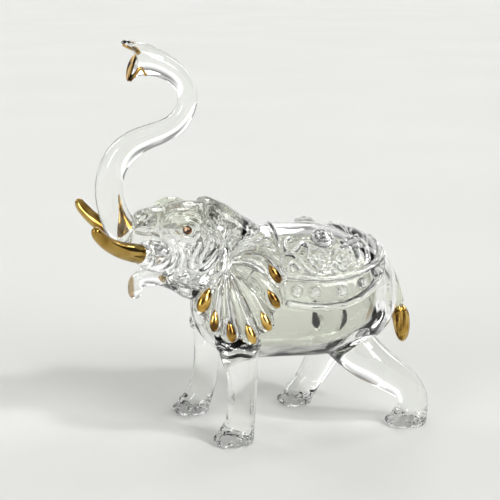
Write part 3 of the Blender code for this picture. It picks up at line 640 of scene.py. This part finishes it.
def head_skin():
    """The head without its folds, and a search tree for laying the folds on it."""
    clay = Clay()
    clay.add("head", station_tube(HEAD_STATIONS, 64, 8))
    for side, _ in SIDES:
        for centre, radii in HEAD_LUMPS:
            clay.add("head", ellipsoid(*on_side([centre], side), radii, None, 32, 20))
    return clay, BVHTree.FromPolygons(clay.points, clay.faces)


HEAD_CLAY, HEAD_TREE = head_skin()


def on_head(x, z, side, lift):
    """The point of the head's side at (x, z), moved out by lift."""
    hit, normal, _, _ = HEAD_TREE.ray_cast(Vector((x, side * 60, z)), Vector((0, -side, 0)))
    if hit is None:
        hit, normal, _, _ = HEAD_TREE.find_nearest(Vector((x, side * 12, z)))
    if normal.y * side < 0:
        normal = -normal
    return hit + normal * lift


def lay_head(clay):
    """The head with its folds and a collar for each tusk."""
    clay.add("head", (HEAD_CLAY.points, HEAD_CLAY.faces))
    for side, _ in SIDES:
        for corners, lift, radius in FOLDS:
            path = smooth_path([on_head(x, z, side, lift) for x, z in corners], 5)
            clay.add("head", rope(path, swelling(radius, 0.45, 0.6)))
        clay.add("head", station_tube(on_side(COLLAR_STATIONS, side), 32, 6))


def lay_jaw(clay):
    clay.add("lower_jaw", station_tube(JAW_STATIONS, 32, 6))
    for side, _ in SIDES:
        clay.add("lower_jaw", rope(smooth_path(on_side(JAW_EDGE, side), 5), JAW_EDGE_RADIUS))


def lay_trunk(clay):
    """The trunk, with its end hollowed by the mouth."""
    trunk = outward_mesh("trunk", *station_tube(TRUNK_STATIONS, 40, 8))
    sides = 48
    x, _, z = MOUTH_CENTRE
    points = [
        (x + MOUTH_RADIUS * math.cos(turn), end * MOUTH_HALF_LENGTH, z + MOUTH_RADIUS * math.sin(turn))
        for end in (-1, 1)
        for turn in turns(sides)
    ]
    cutter = new_object("mouth", outward_mesh("mouth", points, ring_faces(2, sides)))
    cut = applied(trunk, [("BOOLEAN", {"operation": "DIFFERENCE", "object": cutter})])
    bpy.data.objects.remove(cutter)
    first = len(clay.points)
    clay.add("trunk", ([v.co.copy() for v in cut.vertices], [tuple(p.vertices) for p in cut.polygons]))
    for i in range(first, len(clay.points)):
        if clay.points[i].x < TRUNK_END_X and clay.points[i].z > TRUNK_END_Z:
            clay.labels[i] = "trunk_end"
    clay.add("trunk_end", station_tube(LIP_KNOB_STATIONS, 24, 5))


def lay_legs(clay):
    """Each leg, with a row of toes round the front of its foot."""
    for name, stations in LEGS.items():
        clay.add(name, station_tube(stations, 40, 8, "level at the foot"))
        x, y, _, across, high = stations[-2]
        for k in range(TOE_COUNT):
            bearing = math.radians(180 + TOE_SPREAD_DEG * (k - (TOE_COUNT - 1) / 2))
            reach = (high - TOE_INSET) * math.cos(bearing), (across - TOE_INSET) * math.sin(bearing)
            centre = (x + reach[0], y + reach[1], TOE_RADIUS)
            clay.add(name, ellipsoid(centre, (TOE_RADIUS, TOE_RADIUS, TOE_RADIUS)))


def lay_frills(clay):
    """The ruffled rings of glass round the outer side of each front leg, where it was fused to the chest."""
    for side, word in SIDES:
        for level, (x, y, z, radius) in enumerate(FRILLS[word]):
            path = []
            for k in range(31):
                turn = math.radians(FRILL_START_DEG + FRILL_SWEEP_DEG * k / 30)
                wave = FRILL_WAVE * math.sin(5 * turn + 2 * level)
                out = Vector((radius * math.cos(turn), -side * radius * math.sin(turn), wave))
                path.append(Vector((x, y, z)) + out)
            clay.add(f"{word}_front_leg", rope(path, FRILL_RADIUS))


def lay_ears(clay):
    """Each ear: a fluted sheet with a rib on every crest, and a rounded lobe where each rib ends."""
    per_rib, rows = 12, 36
    count = int((EAR_LAST_RIB - EAR_FIRST_RIB) * per_rib) + 1
    for side, word in SIDES:
        name = f"{word}_ear"
        grids = []
        for face in (1, -1):
            grid = []
            for j in range(count):
                rib = EAR_FIRST_RIB + j / per_rib
                flute = math.cos(2 * math.pi * rib)
                scallop = WEB_SCALLOP * flute * (1 if rib < DROP_COUNT else 0.3)
                column = []
                for i in range(rows + 1):
                    share = i / rows
                    crest = WEB_CREST * flute * math.sin(math.pi * min(1, share + WEB_CREST_LEAD))
                    depth = face * WEB_HALF - WEB_HALF + crest
                    column.append(ear_point(rib, share * (WEB_REACH + scallop * share), side, depth))
                grid.append(column)
            grids.append(grid)
        clay.add(name, sheet(grids))
        for rib in range(RIB_COUNT):
            reach = rim_radius(rib_angle_deg(rib)) - EAR_INNER_RADIUS
            end = 1 - ROPE_END_REACH * rib_radius(rib, 1, side) / reach
            shares = [RIB_START + (end - RIB_START) * k / 30 for k in range(31)]
            sizes = [rib_radius(rib, share, side) for share in shares]
            path = [ear_point(rib, share, side, RIB_CREST - size) for share, size in zip(shares, sizes)]
            clay.add(name, rope(path, lambda share, sizes=sizes: sizes[round(30 * share)], 16))
        stalk = [ear_point(0, 0, side), *on_side(EAR_STALK, side)]
        clay.add(name, rope(smooth_path(stalk, 4), EAR_STALK_RADIUS))


def lay_tail(clay):
    clay.add("tail", station_tube(TAIL_STATIONS, 24, 6))


def melt(clay):
    """One skin round all the clay, shared out to the pieces: a dict of piece name to mesh."""
    mesh = bare_mesh("clay", [place(p) for p in clay.points], clay.faces)
    remesh = ("REMESH", {"mode": "VOXEL", "voxel_size": VOXEL * MM, "use_smooth_shade": True})
    skin = applied(mesh, [remesh, ("SMOOTH", {"factor": 0.5, "iterations": 5})])
    tree = KDTree(len(clay.points))
    for i, point in enumerate(clay.points):
        tree.insert(place(point), i)
    tree.balance()
    normals = [v.normal.copy() for v in skin.vertices]
    shares = {name: [] for name in dict.fromkeys(clay.labels)}
    for polygon in skin.polygons:
        label = clay.labels[tree.find(polygon.center)[1]]
        shares[label].append(tuple(polygon.vertices))
    pieces = {}
    for name, faces in shares.items():
        used = sorted({i for face in faces for i in face})
        index = {old: new for new, old in enumerate(used)}
        part_faces = [tuple(index[i] for i in face) for face in faces]
        part = bare_mesh(name, [skin.vertices[i].co for i in used], part_faces)
        part.shade_smooth()
        part.normals_split_custom_set_from_vertices([normals[i] for i in used])
        pieces[name] = part
    return pieces


def cavity_mesh():
    """The wall of the hollow inside the body, facing into the hollow."""
    first, last = BODY_STATIONS[0][0], BODY_STATIONS[-1][0]
    front, back = first + CHEST_WALL, last - RUMP_WALL
    inside = [
        (front + (back - front) * (x - first) / (last - first), y, z, across - BODY_WALL, high - FLOOR_WALL)
        for x, y, z, across, high in BODY_STATIONS[1:-1]
    ]
    mesh = mesh_of("cavity", station_tube(inside, 96, 8, "upright"))
    mesh.flip_normals()
    return mesh


# Materials.


def shader_material(name, **values):
    """A material, its node tree and its shader, with values for the shader's inputs."""
    mat = bpy.data.materials.new(name)
    mat.use_nodes = True
    shader = mat.node_tree.nodes["Principled BSDF"]
    for key, value in values.items():
        shader.inputs[key.replace("_", " ")].default_value = value
    return mat, mat.node_tree, shader


def add_node(tree, kind, **settings):
    """A new node. Each setting is an input's value, an output to link to it, or a property."""
    made = tree.nodes.new(kind)
    for key, value in settings.items():
        if isinstance(value, bpy.types.NodeSocket):
            tree.links.new(value, made.inputs[key])
        elif key in made.inputs:
            made.inputs[key].default_value = value
        else:
            setattr(made, key, value)
    return made


def own_space(tree):
    """A point's place in the piece's own space, in metres."""
    return add_node(tree, "ShaderNodeTexCoord").outputs["Object"]


def noise_in_space(tree, scale, detail=1.0, stretch=None):
    """Noise in the piece's own space. stretch scales the space on each axis first."""
    space = own_space(tree)
    if stretch is not None:
        space = add_node(tree, "ShaderNodeMapping", Vector=space, Scale=stretch).outputs["Vector"]
    return add_node(tree, "ShaderNodeTexNoise", Vector=space, Scale=scale, Detail=detail).outputs["Fac"]


def bumped(tree, shader, height, distance):
    bump = add_node(tree, "ShaderNodeBump", Strength=1.0, Distance=distance, Height=height)
    tree.links.new(bump.outputs["Normal"], shader.inputs["Normal"])


def mapped(tree, value, low, high, at_low=0.0, at_high=1.0):
    """The value carried from low..high to at_low..at_high, and held there beyond."""
    settings = {"Value": value, "From Min": low, "From Max": high, "To Min": at_low, "To Max": at_high}
    return add_node(tree, "ShaderNodeMapRange", **settings).outputs["Result"]


def combined(tree, operation, first, second):
    node = add_node(tree, "ShaderNodeMath", operation=operation)
    tree.links.new(first, node.inputs[0])
    tree.links.new(second, node.inputs[1])
    return node.outputs["Value"]


def mixed(tree, factor, first, second):
    """The first colour turned to the second by the factor. The second may be a plain colour."""
    mix = add_node(tree, "ShaderNodeMix", data_type="RGBA", Factor=factor)
    tree.links.new(first, mix.inputs[MIX_FIRST])
    if isinstance(second, tuple):
        mix.inputs[MIX_SECOND].default_value = second
    else:
        tree.links.new(second, mix.inputs[MIX_SECOND])
    return mix.outputs[MIX_RESULT]


def ramped(tree, value, stops):
    """The colour at a value, from stops of (position, colour)."""
    ramp = add_node(tree, "ShaderNodeValToRGB", Fac=value)
    elements = ramp.color_ramp.elements
    elements[0].position, elements[-1].position = stops[0][0], stops[-1][0]
    for position, _ in stops[1:-1]:
        elements.new(position)
    for element, (_, colour) in zip(elements, stops):
        element.color = (*colour, 1)
    return ramp.outputs["Color"]


def along_axis(tree, axis, start, end):
    """0 before the start and 1 past the end, both places on one axis in metres."""
    split = add_node(tree, "ShaderNodeSeparateXYZ", Vector=own_space(tree))
    return mapped(tree, split.outputs[axis], start, end)


def glass_material(name, tint=CLEAR_TINT, grain=(55, 0.0004), painted_ridge_highlight=0.0, stain=None, clear=1.0):
    """Clear glass with hand-worked waves, whose grooves are a little darker than its ridges as painted shade,
    and whose ridges can carry painted highlights.

    stain is a second tint and where it sets in: (tint, axis, start, end).
    """
    mat, tree, shader = shader_material(name, Roughness=0.0, Transmission_Weight=clear, IOR=1.5)
    scale, distance = grain
    bumped(tree, shader, noise_in_space(tree, scale), distance)
    relief = add_node(tree, "ShaderNodeNewGeometry").outputs["Pointiness"]

    # Painted shade: the colour darkens in the grooves.
    def painted_groove_shade(colour):
        low, high = GROOVE
        return ramped(tree, relief, [(low, [part * GROOVE_PAINTED_SHADE for part in colour]), (high, colour)])

    colour = painted_groove_shade(tint)
    if stain is not None:
        second_tint, *where = stain
        colour = mixed(tree, along_axis(tree, *where), colour, painted_groove_shade(second_tint))
    tree.links.new(colour, shader.inputs["Base Color"])
    # Painted highlight: the ridges are made less clear, so that they show white.
    if painted_ridge_highlight:
        highlight_transmission = mapped(tree, relief, *RIDGE, clear, clear - painted_ridge_highlight)
        tree.links.new(highlight_transmission, shader.inputs["Transmission Weight"])
    return mat


def foot_glass_material():
    """The legs' glass: clear above, and crazed inside the foot."""
    mat, tree, shader = shader_material("leg_glass", Roughness=0.0, Transmission_Weight=1.0, IOR=1.5)
    in_foot = along_axis(tree, "Z", CRAZED_TOP, CRAZED_FULL)
    crazed = combined(tree, "MULTIPLY", noise_in_space(tree, 300), in_foot)
    height = combined(tree, "ADD", mapped(tree, noise_in_space(tree, 60), 0, 1, 0, 0.3), crazed)
    bumped(tree, shader, height, 0.0027)
    stops = [(0.35, [part * 0.98 for part in CLEAR_TINT]), (0.65, CLEAR_TINT)]
    tree.links.new(ramped(tree, noise_in_space(tree, 40), stops), shader.inputs["Base Color"])
    return mat


def gold_material(name="gilding", scale=130, stretch=None, distance=0.0002, shade=1.0):
    """Brushed-on gold: uneven, polished, and with painted dark reflections in patches, darkest where its bump
    is low.
    """
    mat, tree, shader = shader_material(name, Metallic=1.0, Roughness=0.08)
    noise = noise_in_space(tree, scale, 2.0, stretch)
    bumped(tree, shader, noise, distance)
    stops = [(position, [part * shade for part in colour]) for position, colour in GOLD_COLOURS_AND_DARK_REFLECTIONS]
    tree.links.new(ramped(tree, noise, stops), shader.inputs["Base Color"])
    return mat


def crystal_material():
    """Amber crystal: small facets, some of them black and a few light ones that are painted highlights."""
    mat, tree, shader = shader_material("eye_crystal", Roughness=0.12, IOR=1.4)
    cells = add_node(tree, "ShaderNodeTexVoronoi", Vector=own_space(tree), Scale=900.0)
    shade = add_node(tree, "ShaderNodeSeparateColor", Color=cells.outputs["Color"])
    tree.links.new(ramped(tree, shade.outputs["Red"], CRYSTAL_COLOURS_AND_HIGHLIGHTS), shader.inputs["Base Color"])
    bumped(tree, shader, shade.outputs["Green"], 0.0004)
    return mat


# The gilded pieces and the eyes.


def drop_shape(rib, side, segments=24, rings=20):
    """A gilded teardrop on the end of a rib: broad and round at the rim, pointed towards the root."""
    length, wide, deep, inset = FIRST_DROP if rib == 0 else DROP
    reach = rim_radius(rib_angle_deg(rib)) - EAR_INNER_RADIUS
    share = 1 - inset / reach
    centre = ear_point(rib, share, side, DROP_LIFT)
    along = (ear_point(rib, share + 0.05, side) - ear_point(rib, share - 0.05, side)).normalized()
    out = (Vector((0, side, 0)) - along * along.y * side).normalized()
    across = along.cross(out)
    points = [centre - along * (length * (0.5 + DROP_SET_BACK))]
    for k in range(1, rings):
        polar = math.pi * k / rings
        size = math.sin(polar) * math.sin(polar / 2) ** DROP_TAPER
        for turn in turns(segments):
            points.append(
                centre
                - along * (length * (DROP_SET_BACK + 0.5 * math.cos(polar)))
                + across * (size * wide / 2 * math.cos(turn))
                + out * (size * deep / 2 * math.sin(turn))
            )
    points.append(centre + along * (length * (0.5 - DROP_SET_BACK)))
    return points, pole_faces(rings, segments)


def make_eyes(crystal):
    """A faceted round crystal in each eye: a table, a crown of kite facets and a straight girdle."""
    for side, word in SIDES:
        centre = on_head(EYE_X, EYE_Z, side, EYE_LIFT)
        points = [
            centre + Vector((radius * math.cos(turn), side * level, radius * math.sin(turn)))
            for level, radius, offset in EYE_LEVELS
            for turn in turns(EYE_FACETS, offset)
        ]
        mesh = mesh_of("eye", (points, ring_faces(len(EYE_LEVELS), EYE_FACETS)))
        mesh.shade_flat()
        link(f"{word}_eye", mesh, crystal, f"{word}_eye_crystal")


def lip_band(corners, thick):
    """A curved gilded strip across the trunk's end, through corners of (x, z, half width)."""
    sides, steps = 20, 6
    count = (len(corners) - 1) * steps + 1
    rows = [between(corners, k / steps) for k in range(count)]
    points = []
    for k, (x, z, half) in enumerate(rows):
        before, after = rows[max(0, k - 1)], rows[min(count - 1, k + 1)]
        normal = Vector((before[1] - after[1], 0, after[0] - before[0])).normalized()
        for turn in turns(sides):
            points.append(Vector((x, half * math.cos(turn), z)) + normal * (thick * math.sin(turn)))
    return points, ring_faces(count, sides)


def lower_lip_shape():
    """The gilded lower lip: a thin oval scoop that hangs from the notch and curls at its tip."""
    rows, segments = 24, 24
    points = []
    for sign in (1, -1):
        for k in range(rows + 1):
            x, z, half = between(LOWER_LIP, (len(LOWER_LIP) - 1) * k / rows)
            for n in range(segments + 1):
                across = 2 * n / segments - 1
                scoop = LOWER_LIP_SCOOP * (1 - across * across) * (half / 5)
                round_off = math.sqrt(max(0.0, 1 - across * across))
                thick = LOWER_LIP_THICKNESS * round_off * min(1.0, half / 2) + LOWER_LIP_EDGE
                points.append(Vector((x + scoop - LOWER_LIP_BACK + sign * thick, across * half, z)))
    return points, sheet_faces(rows + 1, segments + 1)


def make_gilding():
    """The tusks, the ears' drops, the tail's tuft and the trunk's lips."""
    gold = gold_material()
    # The tusks' gold is darkened further, as painted dark reflection.
    tusk_gold = gold_material("tusk_gilding", scale=60, shade=0.66)
    # The tuft's grain is drawn out along Z, like hair.
    tuft_gold = gold_material("tuft_gilding", scale=520, stretch=(1, 1, 0.12), distance=0.0012, shade=0.85)
    for side, word in SIDES:
        tusk = station_tube(on_side(TUSK_STATIONS, side), 40, 10)
        link(f"{word}_tusk_gold", mesh_of("tusk", tusk), tusk_gold, f"{word}_tusk")
        for rib in range(DROP_COUNT):
            mesh = mesh_of("drop", drop_shape(rib, side))
            link(f"{word}_ear_gold_{rib + 1}", mesh, gold, f"{word}_ear_drop_{rib + 1}")
    link("tail_tuft_gold", mesh_of("tuft", station_tube(TUFT_STATIONS, 32, 10)), tuft_gold, "tail_tuft")
    upper_lip = mesh_of("upper_lip", lip_band(UPPER_LIP, UPPER_LIP_THICKNESS))
    link("upper_lip_gold", upper_lip, gold, "upper_lip_gilding")
    link("lower_lip_gold", mesh_of("lower_lip", lower_lip_shape()), gold, "lower_lip_gilding")
    link("lower_lip_rim_gold", mesh_of("rim", rope(smooth_path(LIP_RIM), LIP_RIM_RADIUS, 12)), gold)


def glass_by_piece():
    """The glasses of the pieces that aren't plain clear glass."""
    crown = (CROWN_TINT, "Z", CROWN_START, CROWN_END)
    lip = (LIP_TINT, "X", LIP_START, LIP_END)
    # The ears, blanket, head, jaw and tail have painted highlights on their ridges; all these glasses have
    # painted shade in their grooves.
    relief = glass_material("relief_glass", painted_ridge_highlight=RIDGE_PAINTED_HIGHLIGHT)
    glasses = dict.fromkeys(LEGS, foot_glass_material())
    glasses |= dict.fromkeys(("left_ear", "right_ear", "saddle_blanket"), relief)
    glasses["head"] = glass_material(
        "head_glass", grain=(190, 0.0006), painted_ridge_highlight=HEAD_RIDGE_PAINTED_HIGHLIGHT, stain=crown
    )
    glasses["lower_jaw"] = glass_material("jaw_glass", painted_ridge_highlight=RIDGE_PAINTED_HIGHLIGHT, stain=lip)
    glasses["tail"] = glass_material("tail_glass", TAIL_TINT, (240, 0.0018), RIDGE_PAINTED_HIGHLIGHT, clear=0.9)
    return glasses


def make_glass():
    """The clear pieces, and the hollow inside the body."""
    clay = Clay()
    layers = (lay_body, lay_blanket, lay_head, lay_jaw, lay_trunk, lay_legs, lay_frills, lay_ears, lay_tail)
    for lay in layers:
        lay(clay)
    clear = glass_material("clear_glass")
    special = glass_by_piece()
    for name, mesh in melt(clay).items():
        link(f"{name}_glass", mesh, special.get(name, clear), name)
    hollow = new_object("body_hollow", cavity_mesh())
    # The hollow's wall is tinted darker and greener as painted shade.
    hollow.data.materials.append(glass_material("hollow_shade_glass", HOLLOW_SHADE_TINT))
    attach(hollow, "root")


# The set.


def card_mask(tree, direction, height, azimuth_deg, half_width, low, high):
    """1 on the card, 0 away from it."""
    azimuth = math.radians(azimuth_deg)
    towards = (math.cos(azimuth), math.sin(azimuth), 0)
    across = (-math.sin(azimuth), math.cos(azimuth), 0)
    sides = []
    for axis in (across, towards):
        dot = add_node(tree, "ShaderNodeVectorMath", operation="DOT_PRODUCT")
        tree.links.new(direction, dot.inputs[0])
        dot.inputs[1].default_value = axis
        sides.append(dot.outputs["Value"])
    width = add_node(tree, "ShaderNodeMath", operation="ABSOLUTE")
    tree.links.new(sides[0], width.inputs[0])
    mask = mapped(tree, width.outputs["Value"], half_width, half_width + CARD_SOFT, 1.0, 0.0)
    for part in (
        mapped(tree, sides[1], 0.02, 0.05),
        mapped(tree, height, low, low + CARD_SOFT),
        mapped(tree, height, high, high + CARD_SOFT, 1.0, 0.0),
    ):
        mask = combined(tree, "MULTIPLY", mask, part)
    return mask


def make_world():
    """Pale light from all round, mottled above, with the cards standing in it."""
    world = bpy.data.worlds.new("studio")
    bpy.context.scene.world = world
    world.use_nodes = True
    tree = world.node_tree
    direction = add_node(tree, "ShaderNodeTexCoord").outputs["Generated"]
    height = add_node(tree, "ShaderNodeSeparateXYZ", Vector=direction).outputs["Z"]
    stops = [(position, (level,) * 3) for position, level in WORLD_LEVELS]
    colour = ramped(tree, mapped(tree, height, -1, 1), stops)
    shift = add_node(tree, "ShaderNodeMapping", Vector=direction, Location=(5.1, 3.6, 6.6))
    noise = add_node(tree, "ShaderNodeTexNoise", Vector=shift.outputs["Vector"], Scale=2.6, Detail=0.0)
    mottle = mapped(tree, noise.outputs["Fac"], 0.42, 0.47, MOTTLE_SHARE, 0.0)
    dim = combined(tree, "MULTIPLY", mottle, mapped(tree, height, 0.12, 0.3))
    layers = [(dim, MOTTLE_LEVEL)]
    layers += [(card_mask(tree, direction, height, *card[:4]), card[4]) for card in CARDS]
    for mask, level in layers:
        colour = mixed(tree, mask, colour, (level, level, level * WARMTH, 1))
    tree.links.new(colour, tree.nodes["Background"].inputs["Color"])


def make_floor():
    far = FLOOR_SIZE
    corners = [(-far, -far, 0), (far, -far, 0), (far, far, 0), (-far, far, 0)]
    mesh = bare_mesh("floor", corners, [(0, 1, 2, 3)])
    floor = new_object("floor", mesh)
    mat, tree, shader = shader_material("pale_floor", Roughness=0.95, Specular_IOR_Level=0.1)
    tree.links.new(ramped(tree, noise_in_space(tree, 3.0), FLOOR_COLOURS), shader.inputs["Base Color"])
    mesh.materials.append(mat)


def aim(obj, direction):
    """Turns a lamp or a camera to look in the direction."""
    obj.rotation_mode = "QUATERNION"
    obj.rotation_quaternion = direction.to_track_quat("-Z", "Y")


def make_set():
    """The world, the floor and one lamp."""
    scene = bpy.context.scene
    scene.view_settings.view_transform = "Standard"
    scene.view_settings.look = "None"
    make_world()
    make_floor()
    lamp = bpy.data.lights.new("sun", "SUN")
    lamp.angle = math.radians(SUN_ANGLE_DEG)
    lamp.energy = SUN_POWER
    aim(new_object("sun", lamp), -Vector(SUN_DIRECTION))


def make_camera():
    """The camera looks down a little, and from ahead of square to the elephant's left side."""
    camera = bpy.data.cameras.new("camera")
    camera.sensor_width = CAMERA_SENSOR
    camera.lens = CAMERA_LENS
    obj = new_object("camera", camera)
    obj.location = place(CAMERA_PLACE)
    pitch, heading = math.radians(CAMERA_PITCH_DEG), math.radians(CAMERA_HEADING_DEG)
    level = math.cos(pitch)
    look = Vector((math.sin(heading) * level, math.cos(heading) * level, -math.sin(pitch)))
    aim(obj, look)
    bpy.context.scene.camera = obj


def main():
    make_set()
    make_camera()
    make_glass()
    make_gilding()
    make_eyes(crystal_material())


main()
